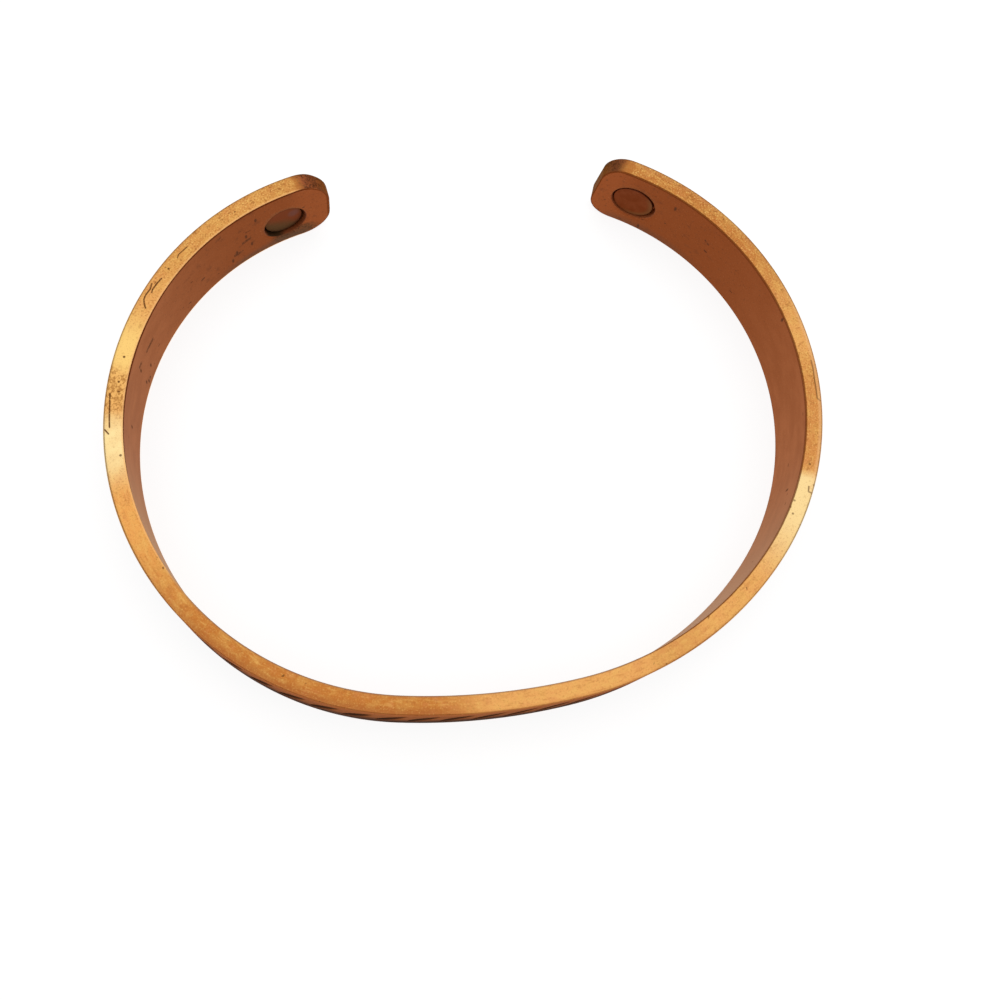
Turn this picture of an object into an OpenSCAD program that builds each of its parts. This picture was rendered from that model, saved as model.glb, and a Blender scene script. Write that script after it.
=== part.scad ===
// Magnetic bracelet: an open cuff bent from one solid copper strip, with a disc magnet in
// a drilled recess on the inner face at each end and a row of slanted flutes cut round the
// outer face. It rests on its lower edge, the gap between its ends towards +Y and the
// middle of its outline over the origin.

/* [Strip] */
// Length of the strip before it is bent, along the middle of its thickness
strip_length = 167; // [140:1:200]
// Width of the strip, which is the height of the cuff as it rests
strip_width = 9; // [8:0.5:16]
// Thickness of the strip
strip_thickness = 1.7; // [1.6:0.1:3]
// Radius of the rounded corners at the left end of the strip
left_corner_radius = 3.2; // [1:0.1:3.8]
// Radius of the rounded corners at the right end of the strip
right_corner_radius = 2.7; // [1:0.1:3.6]
// How far out of square the right end is cut, in degrees, its top set back
right_end_skew = 5.7; // [0:0.1:8]

/* [Magnets] */
// Diameter of the left disc magnet
left_magnet_diameter = 4.1; // [3:0.1:4.8]
// Diameter of the right disc magnet
right_magnet_diameter = 4.4; // [3:0.1:4.8]
// Thickness of each disc magnet
magnet_thickness = 0.8; // [0.5:0.05:0.9]
// Bevel round the rim of a magnet's faces
magnet_bevel = 0.12; // [0.05:0.01:0.2]
// Distance from an end of the strip to the middle of its magnet
magnet_inset = 4.9; // [4:0.1:8]
// How far the left magnet sits below the middle of the strip's width
left_magnet_drop = 0.8; // [0:0.1:0.8]
// How far the right recess sits below the middle of the strip's width
right_magnet_drop = 0.2; // [0:0.1:0.8]
// How far the right magnet has slipped down in its recess
right_magnet_slip = 0.1; // [0:0.05:0.15]
// How far the right magnet has slipped towards the end of the strip in its recess
right_magnet_shift = 0.1; // [0:0.05:0.15]

/* [Recesses] */
// Room between a magnet's rim and the wall of its recess
rim_clearance = 0.25; // [0.1:0.05:0.4]
// Depth of the left magnet's face below the inner face of the strip
left_face_depth = 0.3; // [0.05:0.05:0.35]
// Depth of the right magnet's face below the inner face of the strip
right_face_depth = 0.1; // [0.05:0.05:0.35]
// Film of glue between a magnet and the floor of its recess
glue_film = 0.05; // [0.02:0.01:0.1]

/* [Flutes] */
// Distance along the strip from one flute to the next
flute_pitch = 3; // [2:0.1:6]
// Length of a flute, from tip to tip
flute_length = 6.4; // [4:0.1:7]
// Width of a flute at its middle
flute_width = 1.7; // [0.8:0.1:2]
// Depth of a flute at its middle
flute_depth = 0.25; // [0.1:0.05:0.3]
// Lean of the flutes from upright, towards the right end of the strip
flute_lean = 30; // [0:5:45]
// Plain stretch between an end of the strip and the nearest flute's middle
plain_end = 8; // [6:0.5:20]

/* [Hidden] */
$fn = 96;

// The bends, from the left end round the front to the right end. Each row is a stretch of
// even bend, with its share of the strip's length and the angle in degrees that it turns.
SHARE = 0;
TURN = 1;
bends = [
    [0.13, 48.5],
    [0.20, 72],
    [0.12, 41],
    [0.10, 15.5],
    [0.14, 41.5],
    [0.16, 57.5],
    [0.15, 55]
];
last = len(bends) - 1;
// The most degrees that one facet of a wall may span
facet_turn = 3;

half_thickness = strip_thickness / 2;
// How far a cutter stands past the surface that it cuts
overcut = half_thickness;

// A flute is ground by a wheel with a sharp rim, whose radius follows from the cut it leaves
wheel_radius = (pow(flute_length / 2, 2) + pow(flute_depth, 2)) / (2 * flute_depth);
flutes = floor((strip_length - 2 * plain_end) / flute_pitch) + 1;
first_flute = (strip_length - (flutes - 1) * flute_pitch) / 2;

function ahead_of(heading) = [cos(heading), sin(heading)];
function left_of(heading) = [-sin(heading), cos(heading)];
function degrees(arc, radius) = arc / radius * 180 / PI;

// The strip starts at its left end and is walked along the middle of its thickness, with
// the wrist on the left. These give where each row of the table starts, and its bend,
// before the whole is turned and centred.
function row_length(k) = bends[k][SHARE] * strip_length;
function row_start(k) = k == 0 ? 0 : row_start(k - 1) + row_length(k - 1);
function row_radius(k) = row_length(k) / (bends[k][TURN] * PI / 180);
function raw_heading(k) = k == 0 ? 0 : raw_heading(k - 1) + bends[k - 1][TURN];
function raw_joint(k) = k == 0 ? [0, 0]
    : raw_centre(k - 1) - row_radius(k - 1) * left_of(raw_heading(k));
function raw_centre(k) = raw_joint(k) + row_radius(k) * left_of(raw_heading(k));

// The row of the table at a distance s along the strip, then the heading and the place
// there, a distance out from the middle of the thickness
function row_at(s, k = 0) = k == last || s < row_start(k + 1) ? k : row_at(s, k + 1);
function raw_heading_at(s) = let (k = row_at(s))
    raw_heading(k) + degrees(s - row_start(k), row_radius(k));
function raw_place_at(s, out) = let (k = row_at(s))
    raw_centre(k) - (row_radius(k) + out) * left_of(raw_heading_at(s));

// Distances along the strip at which its walls have a corner between two facets
stations = concat(
    [
        for (k = [0 : last])
            let (facets = ceil(bends[k][TURN] / facet_turn))
                for (i = [0 : facets - 1])
                    row_start(k) + i * row_length(k) / facets
    ],
    [strip_length]
);
raw_outer = [for (s = stations) raw_place_at(s, half_thickness)];
raw_inner = [for (s = stations) raw_place_at(s, -half_thickness)];

// The strip is turned so that both ends lie on one line along X, and then centred
raw_gap = raw_joint(last + 1);
square_up = -atan2(raw_gap[1], raw_gap[0]);
function squared(p) = p[0] * ahead_of(square_up) + p[1] * left_of(square_up);
xs = [for (p = raw_outer) squared(p)[0]];
ys = [for (p = concat(raw_outer, raw_inner)) squared(p)[1]];
middle = [(min(xs) + max(xs)) / 2, (min(ys) + max(ys)) / 2];

function heading_at(s) = raw_heading_at(s) + square_up;
function place_at(s, out = 0) = squared(raw_place_at(s, out)) - middle;

// Places its children on the strip, a distance s along it: x runs on along the strip, y
// runs in towards the wrist and z is up
module on_strip(s, out = 0, up = 0) {
    translate(concat(place_at(s, out), up))
        rotate([0, 0, heading_at(s)])
            children();
}

// The strip bent to its outline, with square ends
module bent_strip() {
    linear_extrude(height = strip_width)
        polygon([
            for (p = concat(raw_outer, [for (i = [len(raw_inner) - 1 : -1 : 0]) raw_inner[i]]))
                squared(p) - middle
        ]);
}

// Points of an arc round a centre, from one angle to another
function arc(centre, radius, from, to) = let (facets = ceil(abs(to - from) / facet_turn))
    [for (i = [0 : facets]) centre + radius * ahead_of(from + (to - from) * i / facets)];

// How far in from an end the middle of a rounded corner lies, at a height up the end
function corner_in(radius, skew, up) = (radius + up * sin(skew)) / cos(skew);

// What is cut off an end to shape it, with x running in along the strip and y up its width
module end_waste(radius, skew) {
    low = [corner_in(radius, skew, radius), radius];
    high = [corner_in(radius, skew, strip_width - radius), strip_width - radius];
    rotate([90, 0, 0])
        linear_extrude(height = strip_thickness * 3, center = true)
            polygon(concat(
                [[-overcut, -overcut], [low[0], -overcut]],
                arc(low, radius, 270, 180 - skew),
                arc(high, radius, 180 - skew, 90),
                [[high[0], strip_width + overcut], [-overcut, strip_width + overcut]]
            ));
}

// Places its children at the mouth of a magnet's recess, with z out of the recess
module in_recess(s, drop) {
    on_strip(s, -half_thickness, strip_width / 2 - drop)
        rotate([-90, 0, 0])
            children();
}

module recess_waste(diameter, face_depth) {
    depth = face_depth + magnet_thickness + glue_film;
    translate([0, 0, -depth])
        cylinder(d = diameter + 2 * rim_clearance, h = depth + overcut);
}

// The grinding wheel as it stands in a flute, square to the face that it cuts
module flute_wheel() {
    // The rim widens from its edge as steeply as the flute does from its floor
    rim = 4 * flute_depth;
    half_rim = rim * flute_width / 2 / flute_depth;
    translate([0, -(wheel_radius - flute_depth), 0])
        rotate([0, flute_lean, 0])
            rotate([0, 90, 0])
                rotate_extrude()
                    polygon([
                        [0, -half_rim],
                        [wheel_radius - rim, -half_rim],
                        [wheel_radius, 0],
                        [wheel_radius - rim, half_rim],
                        [0, half_rim]
                    ]);
}

// A disc magnet with a bevel round both faces, its outer face a depth into its recess
module magnet(diameter, face_depth) {
    rim = diameter / 2;
    translate([0, 0, -(face_depth + magnet_thickness)])
        rotate_extrude()
            polygon([
                [0, 0],
                [rim - magnet_bevel, 0],
                [rim, magnet_bevel],
                [rim, magnet_thickness - magnet_bevel],
                [rim - magnet_bevel, magnet_thickness],
                [0, magnet_thickness]
            ]);
}

module cuff_band() {
    color("#c8803f")
        difference() {
            bent_strip();
            on_strip(0) end_waste(left_corner_radius, 0);
            on_strip(strip_length)
                mirror([1, 0, 0])
                    end_waste(right_corner_radius, right_end_skew);
            in_recess(magnet_inset, left_magnet_drop)
                recess_waste(left_magnet_diameter, left_face_depth);
            in_recess(strip_length - magnet_inset, right_magnet_drop)
                recess_waste(right_magnet_diameter, right_face_depth);
            for (i = [0 : flutes - 1])
                on_strip(first_flute + i * flute_pitch, half_thickness, strip_width / 2)
                    flute_wheel();
        }
}

module left_magnet() {
    color("#5f3423")
        in_recess(magnet_inset, left_magnet_drop)
            magnet(left_magnet_diameter, left_face_depth);
}

module right_magnet() {
    color("#6e3a22")
        in_recess(strip_length - magnet_inset, right_magnet_drop)
            translate([right_magnet_shift, right_magnet_slip, 0])
                magnet(right_magnet_diameter, right_face_depth);
}

cuff_band();
left_magnet();
right_magnet();
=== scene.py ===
import math

import bpy
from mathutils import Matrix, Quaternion, Vector, kdtree
from mathutils.geometry import delaunay_2d_cdt


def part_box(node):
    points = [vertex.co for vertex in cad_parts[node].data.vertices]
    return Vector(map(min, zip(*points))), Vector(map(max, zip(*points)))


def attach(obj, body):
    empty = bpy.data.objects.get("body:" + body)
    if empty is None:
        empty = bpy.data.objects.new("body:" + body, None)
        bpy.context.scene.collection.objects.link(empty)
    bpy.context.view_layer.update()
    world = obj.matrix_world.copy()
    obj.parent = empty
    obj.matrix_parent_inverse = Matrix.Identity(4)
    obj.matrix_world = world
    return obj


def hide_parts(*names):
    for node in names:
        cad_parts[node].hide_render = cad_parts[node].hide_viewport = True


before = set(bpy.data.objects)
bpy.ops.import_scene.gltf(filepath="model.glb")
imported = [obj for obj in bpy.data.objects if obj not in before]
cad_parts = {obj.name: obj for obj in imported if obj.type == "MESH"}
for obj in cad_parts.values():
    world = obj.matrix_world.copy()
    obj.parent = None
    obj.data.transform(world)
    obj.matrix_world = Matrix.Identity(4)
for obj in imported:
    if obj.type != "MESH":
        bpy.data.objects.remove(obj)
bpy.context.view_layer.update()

# The view: the camera is held over the near side of the cuff and looks steeply down into
# it, turned so that the gap between the ends is at the top of the picture.
mm = 0.001
eye = Vector((-14.45, -34.62, 112.5)) * mm
looks_at = Vector((2.3, -5.94, 0)) * mm
roll = math.radians(23.4)

camera = bpy.data.objects.new("camera", bpy.data.cameras.new("camera"))
camera.data.sensor_width = 36
camera.data.lens = 41.68
camera.data.clip_start = 10 * mm
camera.location = eye
camera.rotation_mode = "QUATERNION"
camera.rotation_quaternion = (
    (looks_at - eye).to_track_quat("-Z", "Y") @ Quaternion((0, 0, 1), roll)
)
bpy.context.scene.collection.objects.link(camera)
bpy.context.scene.camera = camera

# The cuff band: one flat copper strip with rounded corners and dulled arrises, drilled for
# the magnets, ground with slanted flutes on its outer face and bent round by hand. Its
# sizes are in millimetres, along the strip from the left end and up across its width.
strip_length = 167
strip_width = 9
strip_thickness = 1.7
left_corner_radius = 3.2
right_corner_radius = 2.7
right_end_skew = math.radians(5.7)
left_end_bow = 0.12
bends = [
    (0.13, 48.5), (0.20, 72), (0.12, 41), (0.10, 15.5), (0.14, 41.5), (0.16, 57.5), (0.15, 55)
]
half_thickness = strip_thickness / 2

magnet_diameters = {"left_magnet": 4.1, "right_magnet": 4.4}
magnet_thickness = 0.8
recess_places = {"left_magnet": (4.9, 3.7), "right_magnet": (strip_length - 4.9, 4.3)}
face_depths = {"left_magnet": 0.3, "right_magnet": 0.1}
rim_clearance = 0.25
glue_film = 0.05

flute_pitch = 3
flute_length = 6.4
flute_width = 1.7
flute_depth = 0.25
flute_lean = math.radians(30)
plain_end = 8
wheel_radius = ((flute_length / 2) ** 2 + flute_depth ** 2) / (2 * flute_depth)
flutes = math.floor((strip_length - 2 * plain_end) / flute_pitch) + 1
first_flute = (strip_length - (flutes - 1) * flute_pitch) / 2


def left_of(heading):
    """The direction square to a heading of the strip, in towards the wrist."""
    return Vector((-math.sin(heading), math.cos(heading)))


def walk_bends(heading):
    """Each even bend's start, radius, heading and centre, and where the last one ends."""
    rows, start, joint = [], 0, Vector((0, 0))
    for share, turn in bends:
        length = share * strip_length
        radius = length / math.radians(turn)
        centre = joint + radius * left_of(heading)
        rows.append((start, radius, heading, centre))
        start += length
        heading += math.radians(turn)
        joint = centre - radius * left_of(heading)
    return rows, joint


def bend_at(s):
    """The row of the bend that a distance s along the strip lies in."""
    return next((row for row in reversed(bend_rows) if row[0] <= s), bend_rows[0])


def plan_place(s, out):
    """The point of the plan a distance s along the strip and out from its middle."""
    start, radius, heading, centre = bend_at(s)
    return centre - (radius + out) * left_of(heading + (s - start) / radius)


# The strip is turned until both ends lie on one line along X, and centred on the frame
gap_line = walk_bends(0)[1]
bend_rows = walk_bends(-math.atan2(gap_line.y, gap_line.x))[0]
rim = [
    plan_place(s / 4, side * half_thickness)
    for s in range(4 * strip_length + 1) for side in (-1, 1)
]
low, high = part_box("cuff_band")
middle = Vector((
    (min(p.x for p in rim) + max(p.x for p in rim)) / 2,
    (min(p.y for p in rim) + max(p.y for p in rim)) / 2,
)) - (low + high).to_2d() / 2 / mm


def bent(s, z, out):
    """A point of the flat strip, in metres, once the strip is bent."""
    place = (plan_place(s, out) - middle) * mm
    return Vector((place.x, place.y, z * mm))


def in_recess(magnet, u, v, w):
    """A point by its place at a recess's mouth: along the strip, up, and out of the recess."""
    s, z = recess_places[magnet]
    start, radius, heading, centre = bend_at(s)
    inward = left_of(heading + (s - start) / radius)
    ahead = Vector((inward.y, -inward.x))
    place = plan_place(s, -half_thickness) + u * ahead + w * inward - middle
    return Vector((place.x * mm, place.y * mm, (z + v) * mm))


def flute_cut(ds, dz, radius):
    """How deep a flute is at a distance along and up from its middle."""
    u = ds * math.sin(flute_lean) + dz * math.cos(flute_lean)
    v = ds * math.cos(flute_lean) - dz * math.sin(flute_lean)
    steepness = 2 * flute_depth / flute_width
    return flute_depth - abs(v) * steepness - u * u / 2 / wheel_radius - ds * ds / 2 / radius


def cut_at(s, z):
    """How deep the outer face is cut at a place on the flat strip."""
    nearest = round((s - first_flute) / flute_pitch)
    radius = bend_at(s)[1] + half_thickness
    return max(
        [0] + [
            flute_cut(s - first_flute - i * flute_pitch, z - strip_width / 2, radius)
            for i in range(max(0, nearest - 1), min(flutes, nearest + 2))
        ]
    )


def flute_lines(i):
    """The outline and the floor line of one flute, as points on the flat strip."""
    steps, trim, rounds = 16, 0.005, 6
    s0, z0 = first_flute + i * flute_pitch, strip_width / 2
    radius = bend_at(s0)[1] + half_thickness
    lean = Vector((math.sin(flute_lean), math.cos(flute_lean)))
    across = Vector((math.cos(flute_lean), -math.sin(flute_lean)))
    reach = flute_length / 2
    # The bent face falls away under the tips, so the flute is a little shorter than the wheel cuts
    while flute_cut(reach * lean.x, reach * lean.y, radius) < 0:
        reach -= trim
    floor = [Vector((s0, z0)) + lean * reach * (2 * k / steps - 1) for k in range(steps + 1)]
    sides = []
    for side in (1, -1):
        for k in range(1, steps):
            u, v = reach * (2 * k / steps - 1) * side, 0
            for _ in range(rounds):
                at = lean * u + across * side * v
                left = flute_cut(at.x, at.y, radius)
                v += left * flute_width / 2 / flute_depth
            sides.append(Vector((s0, z0)) + at)
        sides.append(floor[-1] if side == 1 else floor[0])
    return sides, floor


def smooth(x, low, high):
    """Goes smoothly from 0 to 1 as x goes from low to high."""
    x = min(max((x - low) / (high - low), 0), 1)
    return x * x * (3 - 2 * x)


def end_corner(radius, skew, up):
    """The middle of a rounded corner as it lies in from an end, at a height up that end."""
    return (radius + up * math.sin(skew)) / math.cos(skew)


def outline(inset, spacing=0.3):
    """The rounded outline of the flat strip, drawn in by an inset, anticlockwise."""
    points = []
    corner_steps = 16
    left, right, skew = left_corner_radius, right_corner_radius, right_end_skew
    corners = [
        (strip_length - end_corner(right, skew, right), right, right, -math.pi / 2, skew),
        (
            strip_length - end_corner(right, skew, strip_width - right),
            strip_width - right, right, skew, math.pi / 2
        ),
        (left, strip_width - left, left, math.pi / 2, math.pi),
        (left, left, left, math.pi, 1.5 * math.pi),
    ]
    s, z, radius, angle, turned = corners[-1]
    before = Vector((s, z - (radius - inset)))
    for s, z, radius, angle, turned in corners:
        arc = [
            Vector((s + (radius - inset) * math.cos(a), z + (radius - inset) * math.sin(a)))
            for a in (
                angle + (turned - angle) * k / corner_steps for k in range(corner_steps + 1)
            )
        ]
        steps = round((arc[0] - before).length / spacing)
        points += [before.lerp(arc[0], k / steps) for k in range(1, steps)]
        points += arc
        before = arc[-1]
    for p in points:
        p.x -= left_end_bow * smooth(p.x, 3, 0) * smooth(p.y, 1, 4) * smooth(p.y, 8.3, 5.6)
    return points


def inside(p, loop):
    """Whether a point lies inside a closed loop of points."""
    crossings = 0
    for a, b in zip(loop, loop[1:] + loop[:1]):
        if (a.y > p.y) != (b.y > p.y) and p.x < a.x + (p.y - a.y) * (b.x - a.x) / (b.y - a.y):
            crossings += 1
    return crossings % 2 == 1


class Shell:
    """The points and faces of one piece as they are added, with what each face is made of."""

    def __init__(self):
        self.points = []
        self.paint_places = []
        self.faces = []
        self.zones = []
        self.creases = []

    def add(self, point, along, up, out):
        """Adds a point, and its place in mm that the materials go by."""
        self.points.append(point)
        self.paint_places.append((along, up, out))
        return len(self.points) - 1

    def face(self, corners, zone):
        self.faces.append(corners)
        self.zones.append(zone)

    def bands(self, rings, zone):
        """Joins each ring of points to the next, all the way round."""
        for near, far in zip(rings, rings[1:]):
            for i in range(len(near)):
                j = (i + 1) % len(near)
                self.face((near[i], near[j], far[j], far[i]), zone)

    def to_object(self, name, materials, attribute):
        """Makes the piece, smooth but for its creases, with the places as an attribute."""
        mesh = bpy.data.meshes.new(name)
        mesh.from_pydata(self.points, [], self.faces)
        for material in materials:
            mesh.materials.append(material)
        mesh.polygons.foreach_set("material_index", self.zones)
        mesh.polygons.foreach_set("use_smooth", [True] * len(self.faces))
        places = mesh.attributes.new(attribute, "FLOAT_VECTOR", "POINT")
        places.data.foreach_set("vector", [x for place in self.paint_places for x in place])
        creased = {frozenset(pair) for pair in self.creases}
        sharp = mesh.attributes.new("sharp_edge", "BOOLEAN", "EDGE")
        sharp.data.foreach_set("value", [frozenset(e.vertices) in creased for e in mesh.edges])
        piece = bpy.data.objects.new(name, mesh)
        bpy.context.scene.collection.objects.link(piece)
        shading = piece.modifiers.new("even shading", "WEIGHTED_NORMAL")
        shading.keep_sharp = True
        return piece


def even_grid(edge_points, drilled, taken, spacing):
    """Points of an even grid over a face, clear of its outline, holes and other points."""
    inset = edge_points[0].y
    shaped_end = 5
    rows = round(strip_width / spacing / 0.866)
    columns = round(strip_length / spacing)
    for row in range(rows + 1):
        for column in range(columns + 1):
            p = Vector((
                (column + 0.5 * (row % 2)) * strip_length / columns, row * strip_width / rows
            ))
            near_end = min(p.x, strip_length - p.x) < shaped_end
            if min(p.y, strip_width - p.y) < inset or (near_end and not inside(p, edge_points)):
                continue
            if any((p - hole_middle).length < r + spacing * 0.4 for hole_middle, r in drilled):
                continue
            if taken.find((p.x, p.y, 0))[2] > spacing * 0.6:
                yield p


def fill(shell, edge_ids, edge_points, holes, creases, spacing, lift, zone, flip):
    """Covers one face of the strip with triangles, from its edge in, round its holes."""
    flat = list(edge_points)
    ids = list(edge_ids)
    lines = [(i, (i + 1) % len(flat)) for i in range(len(flat))]
    for hole_ids, hole in holes:
        start = len(flat)
        flat += hole
        ids += hole_ids
        lines += [(start + i, start + (i + 1) % len(hole)) for i in range(len(hole))]
    plain_lines = len(lines)
    for loop, closed in creases:
        start = len(flat)
        flat += loop
        ids += [None] * len(loop)
        lines += [(start + i, start + i + 1) for i in range(len(loop) - 1)]
        if closed:
            lines.append((start + len(loop) - 1, start))
    taken = kdtree.KDTree(len(flat))
    for i, p in enumerate(flat):
        taken.insert((p.x, p.y, 0), i)
    taken.balance()
    drilled = []
    for _, hole in holes:
        hole_middle = sum(hole, Vector((0, 0))) / len(hole)
        drilled.append((hole_middle, (hole[0] - hole_middle).length))
    for p in even_grid(edge_points, drilled, taken, spacing):
        flat.append(p)
        ids.append(None)
    made, made_lines, made_faces, from_points, from_lines, _ = delaunay_2d_cdt(
        flat, lines, [], 1, 1e-6
    )
    places = []
    for p, origin in zip(made, from_points):
        known = next((ids[i] for i in origin if ids[i] is not None), None)
        places.append(shell.add(*lift(p)) if known is None else known)
    rims = [set(hole_ids) for hole_ids, _ in holes]
    for corners in made_faces:
        face = tuple(places[i] for i in corners)
        if any(rim.issuperset(face) for rim in rims):
            continue
        shell.face(face[::-1] if flip else face, zone)
    for (i, j), origin in zip(made_lines, from_lines):
        if any(plain_lines <= k < len(lines) for k in origin):
            shell.creases.append((places[i], places[j]))


# The band's four finishes, in the order of its materials
EDGE, INNER, OUTER, RECESS = range(4)
inner_arris = 0.12
outer_arris = 0.2
burr_height = 0.085
left_end_wear = 0.28
front_sharpness = 0.1


def burr_at(s):
    """How far the inner arris is burred over, which is most along the left side."""
    return burr_height * smooth(s, 1.5, 4) * smooth(s, 58, 44)


def wear_at(s):
    """How much rounder the outer arris is at the left end, and how much sharper at the front."""
    at_front = smooth(s, 46, 56) * smooth(s, 104, 94)
    return left_end_wear * smooth(s, 2.2, 0.5) - front_sharpness * at_front


def edge_profile(flat_steps=5, arris_steps=5):
    """Each line of points across the edge: its inset, its distance out, its share of the
    burr, and how far in and down a millimetre of extra wear takes it. It goes from the inner
    arris, with its small raised lip, over the flat of the edge and round the outer arris."""
    rows = [(inner_arris, -half_thickness, 0, 0, 0), (0.08, -half_thickness, 0.7, 0, 0)]
    rows += [(0.035, -half_thickness, 1, 0, 0), (0.01, 0.02 - half_thickness, 1, 0, 0)]
    rows.append((0, 0.05 - half_thickness, 1, 0, 0))
    flat_from, flat_to = -half_thickness + inner_arris, half_thickness - outer_arris
    for k in range(flat_steps):
        share = k / flat_steps
        rows.append((0, flat_from + (flat_to - flat_from) * share, 0, 0, share))
    for k in range(arris_steps + 1):
        a = math.pi / 2 * k / arris_steps
        rows.append((
            outer_arris * (1 - math.cos(a)), half_thickness - outer_arris * (1 - math.sin(a)), 0,
            1 - math.cos(a), 1 - math.sin(a)
        ))
    return rows


band = Shell()
wear_step = 0.1
edge_rings = []
for inset, out, burred, worn_in, worn_down in edge_profile():
    loop, deeper = outline(inset), outline(inset + wear_step)
    # Extra wear moves a point on, towards its place on the outline a step further in
    loop = [p.lerp(q, worn_in * wear_at(p.x) / wear_step) for p, q in zip(loop, deeper)]
    outs = [
        out - burred * burr_at(p.x) * smooth(p.y, 2, 7) - worn_down * wear_at(p.x) for p in loop
    ]
    edge_rings.append([band.add(bent(p.x, p.y, o), p.x, p.y, o) for p, o in zip(loop, outs)])
band.bands(edge_rings, EDGE)
outer_line = loop

recess_holes = []
rim_break = 0.06
floor_round = 0.03
around = 96


def recess_ring(magnet, r, w, on_face=False):
    """One ring of a recess's points, at a radius and a height above its mouth or the face."""
    s0, z0 = recess_places[magnet]
    radius = bend_at(s0)[1]
    inner_radius = radius - half_thickness
    ids, flat = [], []
    for k in range(around):
        a = 2 * math.pi * k / around
        u, v = r * math.cos(a), r * math.sin(a)
        s = s0 + radius * math.asin(u / inner_radius)
        face_w = inner_radius - math.sqrt(inner_radius ** 2 - u ** 2)
        height = face_w + w if on_face else w
        flat.append(Vector((s, z0 + v)))
        spot = in_recess(magnet, u, v, height)
        ids.append(band.add(spot, s, z0 + v, -half_thickness - height))
    return ids, flat


for magnet in recess_places:
    floor_depth = face_depths[magnet] + magnet_thickness + glue_film
    recess_radius = magnet_diameters[magnet] / 2 + rim_clearance
    mouth, mouth_flat = recess_ring(magnet, recess_radius + rim_break, 0, True)
    rings = [mouth, recess_ring(magnet, recess_radius, -rim_break, True)[0]]
    for r, depth in (
        (recess_radius, floor_depth * 0.5), (recess_radius, floor_depth - floor_round),
        (recess_radius - floor_round, floor_depth), (recess_radius * 0.5, floor_depth)
    ):
        rings.append(recess_ring(magnet, r, -depth)[0])
    band.bands(rings[::-1], RECESS)
    band.face(tuple(rings[-1][::-1]), RECESS)
    recess_holes.append((mouth, mouth_flat))


def inner_lift(p):
    """A point of the flat inner face once bent, with its place on the strip."""
    return bent(p.x, p.y, -half_thickness), p.x, p.y, -half_thickness


def outer_lift(p):
    """A point of the fluted outer face once bent, with its place on the strip."""
    out = half_thickness - cut_at(p.x, p.y)
    return bent(p.x, p.y, out), p.x, p.y, out


inner_spacing = 0.5
outer_spacing = 0.3
flute_creases = []
for i in range(flutes):
    sides, floor = flute_lines(i)
    flute_creases += [(sides, True), (floor[1:-1], False)]
fill(
    band, edge_rings[0], outline(inner_arris), recess_holes, [], inner_spacing, inner_lift,
    INNER, True
)
fill(
    band, edge_rings[-1], outer_line, [], flute_creases, outer_spacing, outer_lift,
    OUTER, False
)


class Shade:
    """A socket of a material's nodes. Sums with it add Math nodes to that material."""

    def __init__(self, tree, socket=None):
        self.tree = tree
        self.socket = socket

    def node(self, kind, settings=None, sockets=None, output=0):
        """Adds a node: its type, its settings, then the values or links of its sockets."""
        node = self.tree.nodes.new(kind)
        for name, value in (settings or {}).items():
            setattr(node, name, value)
        for name, value in (sockets or {}).items():
            if isinstance(value, Shade):
                self.tree.links.new(value.socket, node.inputs[name])
            else:
                node.inputs[name].default_value = value
        return Shade(self.tree, node.outputs[output] if node.outputs else None)

    def maths(self, operation, *values):
        return self.node("ShaderNodeMath", {"operation": operation}, dict(enumerate(values)))

    def __add__(self, other):
        return self.maths("ADD", self, other)

    def __radd__(self, other):
        return self.maths("ADD", other, self)

    def __sub__(self, other):
        return self.maths("SUBTRACT", self, other)

    def __rsub__(self, other):
        return self.maths("SUBTRACT", other, self)

    def __mul__(self, other):
        return self.maths("MULTIPLY", self, other)

    def __rmul__(self, other):
        return self.maths("MULTIPLY", other, self)

    def __truediv__(self, other):
        return self.maths("DIVIDE", self, other)

    def __pow__(self, other):
        return self.maths("POWER", self, other)

    def most(self, other):
        return self.maths("MAXIMUM", self, other)

    def least(self, other):
        return self.maths("MINIMUM", self, other)

    def rise(self, low, high, least=0, most=1):
        """Goes smoothly from least to most as this goes from low to high."""
        return self.node(
            "ShaderNodeMapRange", {"interpolation_type": "SMOOTHSTEP"},
            {"Value": self, "From Min": low, "From Max": high, "To Min": least, "To Max": most}
        )

    def stretched(self, x, y, z):
        return self.node(
            "ShaderNodeVectorMath", {"operation": "MULTIPLY"}, {0: self, 1: (x, y, z)}
        )

    def noise(self, scale, detail=2, roughness=0.5):
        return self.node(
            "ShaderNodeTexNoise", {},
            {"Vector": self, "Scale": scale, "Detail": detail, "Roughness": roughness}
        )

    def mix(self, below, above):
        """From one colour to another, by this share of the second."""
        return self.node(
            "ShaderNodeMix", {"data_type": "RGBA"}, {0: self, 6: below, 7: above}, 2
        )

    def near_line(self, other, points, width):
        """1 on a line drawn through the points, where this and other are the coordinates."""
        mark = None
        for (x0, y0), (x1, y1) in zip(points, points[1:]):
            dx, dy = x1 - x0, y1 - y0
            along = ((self - x0) * dx + (other - y0) * dy) / (dx * dx + dy * dy)
            held = along.most(0).least(1)
            away = ((self - x0 - held * dx) ** 2 + (other - y0 - held * dy) ** 2) ** 0.5
            here = away.rise(width * 0.7, width * 0.3)
            mark = here if mark is None else mark.most(here)
        return mark


def new_material(name, attribute):
    """A material, its nodes, and a point's place in mm on the flat strip or on its magnet."""
    material = bpy.data.materials.new(name)
    material.use_nodes = True
    material.node_tree.nodes.clear()
    paint = Shade(material.node_tree)
    place = paint.node("ShaderNodeAttribute", {"attribute_name": attribute}, {}, 1)
    split = paint.node("ShaderNodeSeparateXYZ", {}, {"Vector": place}).socket.node
    return [material, paint, place] + [Shade(paint.tree, output) for output in split.outputs]


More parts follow.
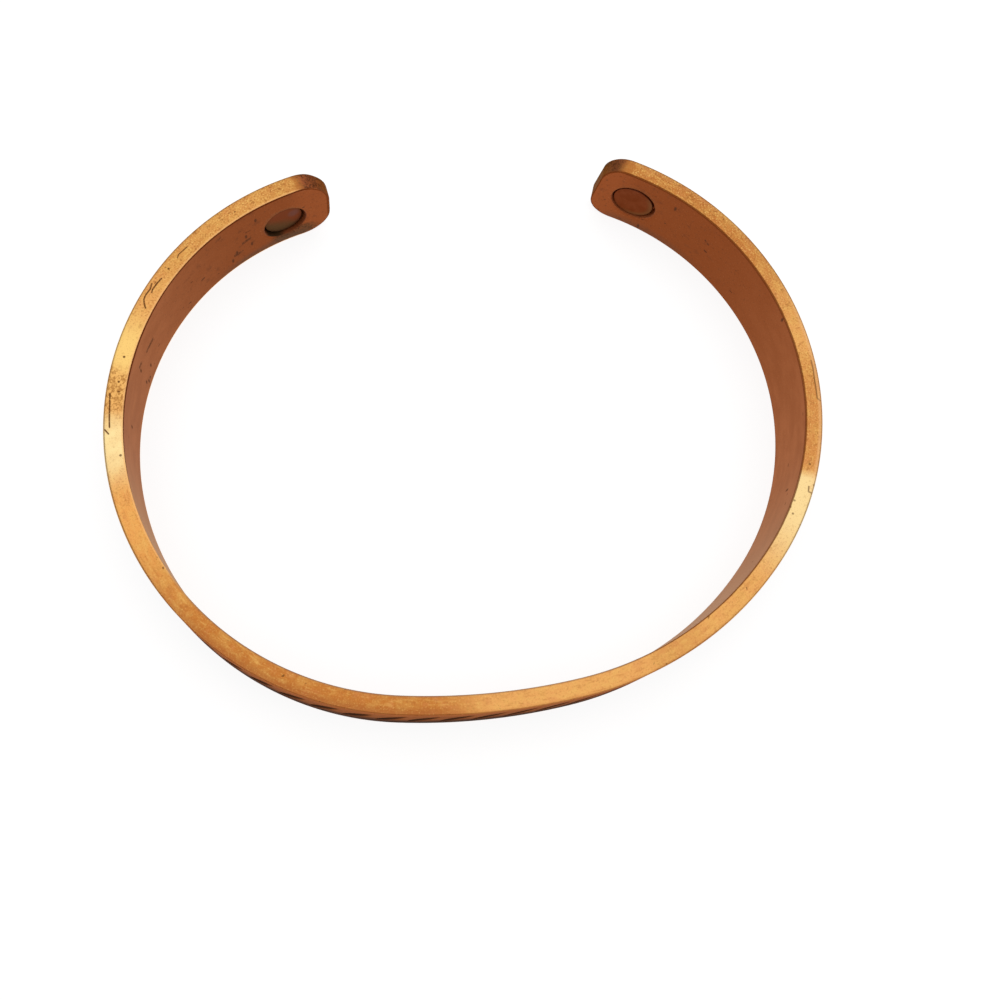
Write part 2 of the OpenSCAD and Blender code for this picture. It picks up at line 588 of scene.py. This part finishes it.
def painted(tone, layers):
    """A colour once each layer, a share and the colour that it has, is laid over it in turn."""
    for share, colour in layers:
        tone = share.mix(tone, colour)
    return tone


def finish_with(paint, relief=None, **sockets):
    """The metal itself, with its fine relief, and its link to the material's output."""
    names = {name.replace("_", " "): value for name, value in sockets.items()}
    if relief:
        strength, distance, height = relief
        names["Normal"] = paint.node(
            "ShaderNodeBump", {}, {"Strength": strength, "Distance": distance, "Height": height}
        )
    metal = paint.node("ShaderNodeBsdfPrincipled", {}, names)
    paint.node("ShaderNodeOutputMaterial", {}, {"Surface": metal})


# Worn, bright edge: golden at the sides, painted darker and redder round the front and
# the right end as shade, with two rubbed patches that carry painted highlights, rolled-over
# laps, pits, brown ends and a dark line along the inside
edge_copper, paint, place, along, up, out = new_material("worn bright copper", "on_strip")
grit = place.noise(6, 2, 0.7)
coarse = place.noise(2.6, 2, 0.6)
cloud = place.noise(0.8, 3, 0.6)
streaks = place.stretched(0.35, 1.6, 1.6).noise(2.2, 3, 0.6)
edge_wave = (place.stretched(1, 0, 0).noise(1.1, 3, 0.7) - 0.5) * 0.35

front = along.rise(43, 57) * along.rise(84.5, 77.5)
near_shade = out.rise(-0.2, 0.9) * along.rise(45, 60) * along.rise(83, 77.5)
golden_rub_and_highlight = along.rise(22.5, 27) * along.rise(35, 31.5)
left_rub_and_highlight = along.rise(32.5, 36) * along.rise(42, 37.5) * (0.6 + cloud)
right_rub_and_highlight = along.rise(111, 120) * (along + cloud).rise(124.9, 123.6)
rubs_and_highlights = left_rub_and_highlight.most(right_rub_and_highlight)
tone = painted((0.82, 0.395, 0.118, 1), [
    # Painted shade and light: stretches along the ring, darker and redder or brighter
    (along.rise(22, 17) * 0.7, (0.66, 0.29, 0.07, 1)),
    (along.rise(38, 44) * along.rise(62, 52) * 0.6, (0.90, 0.40, 0.095, 1)),
    (along.rise(8, 4) * 0.6, (0.58, 0.24, 0.06, 1)),
    (front, (0.56, 0.195, 0.038, 1)),
    (along.rise(98, 99.5) * along.rise(106, 102.5) * 0.45, (0.62, 0.27, 0.07, 1)),
    (along.rise(122, 126) * along.rise(138, 134) * 0.65, (0.61, 0.225, 0.054, 1)),
    (along.rise(137, 150), (0.57, 0.212, 0.05, 1)),
    (along.rise(140, 150) * out.rise(0.1, 0.6) * 0.35, (0.62, 0.31, 0.12, 1)),
    (cloud.rise(0.45, 0.65) * 0.3, (0.80, 0.46, 0.12, 1)),
    (cloud.rise(0.47, 0.3) * 0.35, (0.68, 0.26, 0.09, 1)),
    (streaks.rise(0.52, 0.68) * 0.35, (0.86, 0.50, 0.14, 1)),
    (streaks.rise(0.46, 0.32) * 0.35, (0.50, 0.18, 0.045, 1)),
    (near_shade * 0.7, (0.36, 0.105, 0.028, 1)),
    # Rubbed polish, with a pale gold painted in as highlights
    (golden_rub_and_highlight * 0.9, (1.0, 0.66, 0.21, 1)),
    (rubs_and_highlights * 0.85, (0.97, 0.74, 0.35, 1))
])

# The grain of the edge is strongest where it is least rubbed, towards the ends. The left
# side has one mottled patch beside its rub, stained brown.
grainy = along.rise(48, 34).most(along.rise(104, 124)) * 0.5 + 0.5
grainy = grainy + along.rise(24, 10).most(along.rise(146, 156)) * 0.4
grainy = grainy * (1 - golden_rub_and_highlight.most(rubs_and_highlights) * 0.6)
mottled = (along + cloud).rise(29.2, 30.8) * (along + edge_wave * 3).rise(34.4, 33.4)
stains = place.noise(4.5, 3, 0.7).rise(0.55, 0.42) * mottled
tone = painted(tone, [
    (grit.rise(0.54, 0.66) * grainy * 0.5, (0.95, 0.62, 0.2, 1)),
    (grit.rise(0.46, 0.34) * grainy * 0.55, (0.36, 0.125, 0.03, 1)),
    (coarse.rise(0.42, 0.30) * grainy * 0.45, (0.36, 0.125, 0.028, 1)),
    (mottled * 0.6, (0.86, 0.41, 0.12, 1)),
    (stains * 0.7, (0.42, 0.16, 0.032, 1))
])

# Laps, where the rolled metal folded over and dirt has settled, each drawn as a line of
# points along and out on the strip. Single pits lie between them, and the first lap is finer.
pits = place.noise(1.9, 1, 0.5).rise(0.73, 0.78)
marks = along.near_line(out, [(15.63, 0.09), (16.75, 0.17), (17.07, 0.04)], 0.1)
for lap in (
    [(19.67, -0.02), (20.26, 0.05), (21.05, 0.08), (21.34, 0)],
    [(20.57, 0.45), (21.11, 0.29), (21.86, 0.36), (22.29, 0.29), (22.67, 0.06), (23.01, -0.24)],
    [(32.0, 0.41), (33.4, 0.31), (35.24, 0.25)],
    [(35.46, 0.67), (35.86, 0.34)],
    [(135.67, 0.41), (134.7, 0.41), (133.64, 0.34), (131.73, 0.38), (131.48, 0.68)],
    [(122.55, 0.28), (122.05, 0.38), (122.03, 0.69)],
):
    marks = marks.most(along.near_line(out, lap, 0.14))
for s, n in (
    (18.46, 0), (30.79, -0.19), (38.03, -0.59), (28.29, -0.14), (120.64, -0.64),
    (119.32, -0.33), (124.8, -0.1)
):
    marks = marks.most((((along - s) ** 2 + (out - n) ** 2) ** 0.5).rise(0.16, 0.06))
marks = marks * grit.rise(0.3, 0.48)
marks = marks.most(pits * 0.8)
tone = (marks * along.rise(120, 30, 0.7, 0.95)).mix(tone, (0.13, 0.042, 0.011, 1))

# The two ends, gone brown and specked where they are least handled, with painted shade on
# their upright walls, then dark lines and a painted highlight along the inner arris, and the
# pale or dark arrises along the outer side, painted darker round the front as shade.
left_end = (along + cloud * 0.8 + streaks * 0.8).rise(4.3, 2.9)
right_end = (along - cloud * 0.8 - streaks * 0.8).rise(163.0, 164.4)
ends = left_end.most(right_end)
orange = (along + cloud * 0.8).rise(4.2, 3.4).most((along - cloud * 0.8).rise(162.7, 163.4))
end_grain = place.noise(3.2, 3, 0.7).rise(0.42, 0.66)
brown = end_grain.mix((0.42, 0.12, 0.045, 1), (0.2, 0.062, 0.03, 1))
olive = (along.rise(164, 165.6) * 0.65).most(ends * out.rise(0.5, 0.8))
end_specks = (grit * 0.6 + coarse * 0.4).rise(0.53, 0.6) * ends
end_wall_shade = along.rise(1.6, 0.3).most(along.rise(165.3, 166.4))
far_line = along.rise(90, 104) * (out + edge_wave * 0.3).rise(-0.72, -0.78)
burr_highlight = along.rise(60, 50) * along.rise(2.4, 3.8) * out.rise(-0.74, -0.84)
near_arris = along.rise(50, 60) * along.rise(112, 100) * out.rise(0.5, 0.86)
near_fringe = along.rise(48, 56) * along.rise(102, 96) * out.rise(-0.66, -0.80)
outer_rim = out.rise(0.58, 0.84) * along.rise(112, 120).most(along.rise(56, 48))
pale_rim = out.rise(0.3, 0.55) * along.rise(120, 125) * along.rise(146, 138)
tone = painted(tone, [
    (orange * 0.75, (0.47, 0.16, 0.036, 1)),
    (ends ** 2 * 0.9, brown),
    (olive * 0.6, (0.105, 0.055, 0.022, 1)),
    (end_specks * 0.7, (0.06, 0.02, 0.01, 1)),
    # Painted shade on the upright end walls, deeper towards the outer side
    (end_wall_shade * 0.5, (0.10, 0.05, 0.03, 1)),
    (end_wall_shade * out.rise(0, 0.7) * 0.6, (0.06, 0.042, 0.026, 1)),
    (far_line * 0.8, (0.21, 0.045, 0.008, 1)),
    # Painted highlight along the burred inner arris
    (burr_highlight * 0.6, (0.92, 0.5, 0.2, 1)),
    # Painted shade: the outer arris round the front is darkened
    (near_arris * 0.4, (0.55, 0.19, 0.055, 1)),
    # A darker fringe along the inner arris round the front
    (near_fringe * 0.65, (0.29, 0.15, 0.085, 1)),
    (pale_rim * 0.4, (0.97, 0.56, 0.26, 1)),
    (outer_rim * (0.4 - pale_rim * 0.3), (0.30, 0.16, 0.06, 1))
])
rough = 0.36 - rubs_and_highlights * 0.08 + ends * 0.12 + stains * 0.1 + near_arris * up.rise(9, 8.97) * 0.3
finish_with(
    paint, (0.35, 0.00004, grit * 0.5 + streaks * 0.4 - marks * 1.2 - stains * 0.3),
    Base_Color=tone, Metallic=1 - far_line * 0.7, Roughness=rough, Specular_IOR_Level=0.0,
    Specular_Tint=(0.62, 0.45, 0.33, 1)
)

# Inner face: skin-worn satin brown, painted darker towards the ends as shade and paler in
# two stretches as a painted sheen, with smudges towards the ends, a few dark specks and a
# dark line under the burred upper arris
inner_copper, paint, place, along, up, out = new_material("brown inner copper", "on_strip")
grit = place.noise(6, 2, 0.6)
cloud = place.stretched(0.5, 1, 1).noise(0.7, 3, 0.6)
wave = (place.stretched(1, 0, 0).noise(1.3, 3, 0.7) - 0.5) * 0.3
smudge = along.rise(26, 14).most(along.rise(146, 158)) * place.noise(0.9, 4, 0.7).rise(0.55, 0.72)
tone = cloud.rise(0.3, 0.7).mix((0.335, 0.096, 0.032, 1), (0.395, 0.124, 0.045, 1))
tone = painted(tone, [
    # Painted shade: darker towards both ends
    (along.rise(29, 8).most(along.rise(126, 152)) * 0.9, (0.258, 0.059, 0.0145, 1)),
    (along.rise(5, 2).most(along.rise(161.5, 165)) * 0.5, (0.37, 0.095, 0.028, 1)),
    # Painted sheen: two paler, less red stretches
    (along.rise(34, 50) * along.rise(64, 54) * 0.6, (0.52, 0.33, 0.18, 1)),
    (along.rise(88, 98) * along.rise(128, 104) * 0.6, (0.45, 0.28, 0.165, 1)),
    (grit.rise(0.58, 0.72) * 0.25, (0.55, 0.22, 0.1, 1)),
    (smudge * 0.4, (0.17, 0.06, 0.03, 1))
])

# Its specks are drawn out up the strip's width, and are thickest towards the ends. A few
# longer ones are short dark strokes.
ends = along.rise(20, 12).most(along.rise(150, 157))
specks = (place.stretched(0.6, 1, 1).noise(1.7, 1, 0.5) + ends * 0.045).rise(0.76, 0.80)
drawn_up = 0.4
for s, z in (
    (10.85, 2.8), (9.46, 4.7), (8.95, 2.7), (11.5, 1.8), (8.1, 6.7), (27.88, 4.9), (27.48, 1.2),
    (33.65, 4.4), (27.9, 1.9), (26.2, 2.4), (157.7, 7.0), (160.6, 0.6), (140.7, 8.4), (122.66, 5.9)
):
    away = ((along - s) ** 2 + ((up - z) * drawn_up) ** 2) ** 0.5
    specks = specks.most(away.rise(0.2, 0.08))
for s0, z0, s1, z1 in (
    (24.3, 5.0, 25.93, 5.2), (27.3, 5.6, 27.9, 5.7), (9.0, 4.0, 10.0, 3.8), (10.4, 2.4, 11.2, 2.5)
):
    stroke = along.near_line(up * drawn_up, [(s0, z0 * drawn_up), (s1, z1 * drawn_up)], 0.17)
    specks = specks.most(stroke * grit.rise(0.35, 0.5))

# The marks of the inner face: a smear under the left magnet, the low edge, loose flecks,
# the dark line that follows the corner and the upper arris, and a painted shadow at each recess.
under_left = (((along - 4.0) * 0.4) ** 2 + ((up - 1.0) * 0.85) ** 2).rise(1.7, 0.2)
smear_specks = place.noise(3.6, 2, 0.6).rise(0.5, 0.58) * under_left
low_edge = along.rise(16, 9) * along.rise(1.5, 3.5)
low_edge = low_edge + along.rise(150, 158) * along.rise(165.5, 164) * 0.6
flecks = place.noise(3.4, 2, 0.6).rise(0.62, 0.68) * along.rise(36, 16).most(along.rise(134, 150))
corner_in = (left_corner_radius - left_end_bow - 0.1 - along).most(0) ** 2
corner_in = corner_in + (up - strip_width + left_corner_radius).most(0) ** 2
under_burr = along.rise(3, 6, 0, 0.08) + along.rise(18, 31, 0, 0.38) * along.rise(58, 44)
under_burr = under_burr - along.rise(80, 104) * 0.1 - along.rise(126, 145) * 0.08
dark_line = (corner_in ** 0.5 + wave * 0.4 + under_burr).rise(2.74, 2.86)
dark_line = dark_line * (1 - along.rise(60, 100) * 0.4) * along.rise(0.2, 4, 0.6, 1)
tone = painted(tone, [
    (specks * 0.75, (0.09, 0.035, 0.02, 1)),
    (under_left * (0.4 + cloud * 0.7), (0.10, 0.05, 0.024, 1)),
    (smear_specks * 0.7, (0.045, 0.018, 0.01, 1)),
    (low_edge * up.rise(1.5, 0.2) * 0.7, (0.12, 0.06, 0.04, 1)),
    (flecks * 0.5, (0.12, 0.036, 0.016, 1)),
    # A dark line that follows the corner and the upper arris
    (dark_line * 0.95, (0.145, 0.024, 0.003, 1))
])
for magnet, weight in (("left_magnet", 0.8), ("right_magnet", 0.5)):
    s, z = recess_places[magnet]
    mouth = magnet_diameters[magnet] / 2 + rim_clearance
    away = ((along - s) ** 2 + (up - z) ** 2) ** 0.5
    upper_side = ((along - s) * 0.6 + (up - z) * 0.8).rise(-0.5, 1)
    # Painted shadow along the upper side of the recess's mouth
    rim_shadow = away.rise(mouth + 0.17, mouth + 0.05) * upper_side
    tone = (rim_shadow * weight).mix(tone, (0.075, 0.02, 0.006, 1))
finish_with(
    paint, (0.2, 0.00003, grit - specks), Base_Color=tone,
    Metallic=1 - dark_line.most(specks * 0.7) * 0.85, Roughness=0.5 + smudge * 0.1,
    Specular_IOR_Level=0.0, Specular_Tint=(0.88, 0.74, 0.6, 1)
)

# Outer face: copper gone brown, painted darker towards the lower arris as shade and lighter
# towards the upper arris as painted light, rubbed brighter on the lands between the flutes,
# with scuffed streaks that are partly painted glints, and dark patina in the flutes
outer_copper, paint, place, along, up, out = new_material("fluted outer copper", "on_strip")
grit = place.noise(5, 3, 0.6)
cloud = place.stretched(0.6, 1, 1).noise(0.5, 3, 0.6)
scuffs_and_glints = place.stretched(0.3, 2, 1).noise(1.6, 3, 0.6)
depth = half_thickness - out
patina = (depth + grit * 0.04).rise(0.02, 0.09)
# Painted shade: darker towards the lower arris
tone = (up + cloud * 2.5).rise(2.2, 6.8).mix((0.075, 0.036, 0.024, 1), (0.46, 0.16, 0.05, 1))
tone = painted(tone, [
    (cloud.rise(0.5, 0.3) * 0.5, (0.20, 0.075, 0.032, 1)),
    # Scuffed streaks, partly painted glints
    (scuffs_and_glints.rise(0.52, 0.7) * up.rise(2, 7, 0.12, 0.4), (0.56, 0.26, 0.12, 1)),
    # Painted light: lighter towards the upper arris
    (up.rise(6.0, 8.6) * 0.8, (0.62, 0.21, 0.058, 1)),
    (grit.rise(0.44, 0.3) * 0.45, (0.07, 0.03, 0.018, 1)),
    (patina * up.rise(7.4, 4.4, 0.5) * 0.85, (0.045, 0.024, 0.016, 1))
])
finish_with(
    paint, (0.3, 0.00004, grit + scuffs_and_glints), Base_Color=tone, Metallic=0.5,
    Roughness=0.42 + patina * 0.2, Specular_IOR_Level=0.0, Specular_Tint=(0.16, 0.08, 0.04, 1)
)

# Recesses: blind holes drilled for the magnets, their bare copper gone dark with old glue,
# redder in the right one. The deeper left one is painted darker, partly old glue and partly
# painted shade, with a patch at the foot of its wall that is partly dried glue, partly painted
# shade.
recess_copper, paint, place, along, up, out = new_material("drilled copper", "on_strip")
grit = place.noise(5, 3, 0.6)
lip = out.rise(-0.42, -0.78)
glue_and_shade = (((along - 6.3) * 0.6) ** 2 + (up - 1.9) ** 2).rise(1.1, 0.15)
tone = grit.rise(0.35, 0.65).mix((0.40, 0.085, 0.018, 1), (0.52, 0.13, 0.035, 1))
tone = painted(tone, [
    # Partly old glue, partly painted shade: the left recess darker
    (along.rise(20, 10) * 0.8, (0.12, 0.03, 0.008, 1)),
    (lip * along.rise(10, 20, 0.45, 0.8), (0.30, 0.085, 0.028, 1)),
    # Partly dried glue, partly painted shade at the foot of the left recess
    (glue_and_shade * 0.85, (0.03, 0.02, 0.006, 1))
])
finish_with(paint, Base_Color=tone, Metallic=0.5, Roughness=0.6, Specular_IOR_Level=0.1)

cuff = band.to_object(
    "copper_cuff", [edge_copper, inner_copper, outer_copper, recess_copper], "on_strip"
)
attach(cuff, "root")
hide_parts("cuff_band")

# The left magnet: a small copper-plated disc, dulled to dark brown, seated on glue a little
# below the mouth of its recess.
magnet_edge = 0.12
rounded_steps = 5


def disc(name, magnet, shift, slip, material):
    """A turned disc with rounded edges, which may sit a little along and down in its recess."""
    turned = Shell()
    radius = magnet_diameters[magnet] / 2
    face = -face_depths[magnet]
    profile = [(radius * 0.5, face)]
    for k in range(rounded_steps + 1):
        a = math.pi / 2 * k / rounded_steps
        profile.append((
            radius - magnet_edge * (1 - math.sin(a)), face - magnet_edge * (1 - math.cos(a))
        ))
    back = face - magnet_thickness
    profile += [(radius, back + magnet_edge), (radius - magnet_edge, back), (radius * 0.5, back)]
    rings = []
    for r, w in profile:
        ring = []
        for k in range(around):
            a = 2 * math.pi * k / around
            u, v = r * math.cos(a), r * math.sin(a)
            ring.append(turned.add(in_recess(magnet, u + shift, v - slip, w), u, v, w))
        rings.append(ring)
    turned.bands(rings, 0)
    turned.face(tuple(rings[0][::-1]), 0)
    turned.face(tuple(rings[-1]), 0)
    piece = turned.to_object(name, [material], "on_disc")
    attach(piece, "root")
    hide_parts(magnet)


dark_plating, paint, place, across, up, out = new_material("dark brown plating", "on_disc")
cloud = place.noise(0.8, 3, 0.6)
grit = place.noise(7, 2, 0.6)
olive = (across * 0.4 - up * 0.75 + cloud).rise(0.2, 1.5)
from_middle = (across ** 2 + up ** 2) ** 0.5
glint = ((across + 1.1) ** 2 + (up - 0.6) ** 2).rise(0.6, 0)
tone = olive.mix((0.185, 0.046, 0.022, 1), (0.105, 0.054, 0.027, 1))
tone = painted(tone, [
    (grit.rise(0.58, 0.7) * 0.25, (0.26, 0.12, 0.06, 1)),
    # Painted shade round the rim of the left magnet, under the rim of its recess
    (from_middle.rise(1.5, 2.0) * 0.4, (0.08, 0.03, 0.014, 1)),
    (glint * 0.5, (0.15, 0.075, 0.075, 1))
])
finish_with(
    paint, Base_Color=tone, Metallic=1.0, Roughness=0.5, Specular_Tint=(0.75, 0.58, 0.45, 1)
)
disc("left_disc", "left_magnet", 0, 0, dark_plating)

# The right magnet: the same disc in brighter red-brown plating, nearly flush with the inner
# face and slipped down a little in its recess.
shift_to_end, slip_down = 0.1, 0.1
red_plating, paint, place, across, up, out = new_material("red brown plating", "on_disc")
cloud = place.noise(0.8, 3, 0.6)
grit = place.noise(7, 2, 0.6)
from_middle = (across ** 2 + up ** 2) ** 0.5
far_rim = from_middle.rise(1.45, 2.05) * (-1 * across - up * 0.6).rise(-0.2, 1.5)
tone = cloud.rise(0.35, 0.65).mix((0.172, 0.041, 0.016, 1), (0.2, 0.052, 0.022, 1))
tone = painted(tone, [
    (grit.rise(0.6, 0.7) * 0.2, (0.30, 0.10, 0.05, 1)),
    (far_rim * 0.6, (0.19, 0.09, 0.04, 1))
])
finish_with(
    paint, Base_Color=tone, Metallic=1.0, Roughness=0.5, Specular_Tint=(0.6, 0.42, 0.32, 1)
)
disc("right_disc", "right_magnet", shift_to_end, slip_down, red_plating)

# The floor and the light: a white tabletop under one broad soft light held over the far
# side, as in a light tent, with a dim even light from all round.
reach = 1.5
table_glow = 0.83
light_size = 0.9
light_strength = 0.68
room_strength = 0.4

floor_mesh = bpy.data.meshes.new("floor")
floor_mesh.from_pydata(
    [(-reach, -reach, 0), (reach, -reach, 0), (reach, reach, 0), (-reach, reach, 0)], [],
    [(0, 1, 2, 3)]
)
floor_white = bpy.data.materials.new("white tabletop")
floor_white.use_nodes = True
floor_white.node_tree.nodes.clear()
finish_with(
    Shade(floor_white.node_tree), Base_Color=(0.3, 0.3, 0.3, 1), Roughness=0.9,
    Emission_Color=(1, 1, 1, 1), Emission_Strength=table_glow
)
floor_mesh.materials.append(floor_white)
floor = bpy.data.objects.new("floor", floor_mesh)
bpy.context.scene.collection.objects.link(floor)

softbox = bpy.data.objects.new("softbox", bpy.data.lights.new("softbox", "AREA"))
softbox.data.shape = "SQUARE"
softbox.data.size = light_size
softbox.data.energy = light_strength * math.pi * light_size ** 2
softbox.location = Vector((66, 164, 480)) * mm
bpy.context.scene.collection.objects.link(softbox)

world = bpy.data.worlds.new("studio")
world.use_nodes = True
world.node_tree.nodes["Background"].inputs["Color"].default_value = (1, 1, 1, 1)
world.node_tree.nodes["Background"].inputs["Strength"].default_value = room_strength
bpy.context.scene.world = world
bpy.context.scene.view_settings.view_transform = "Standard"
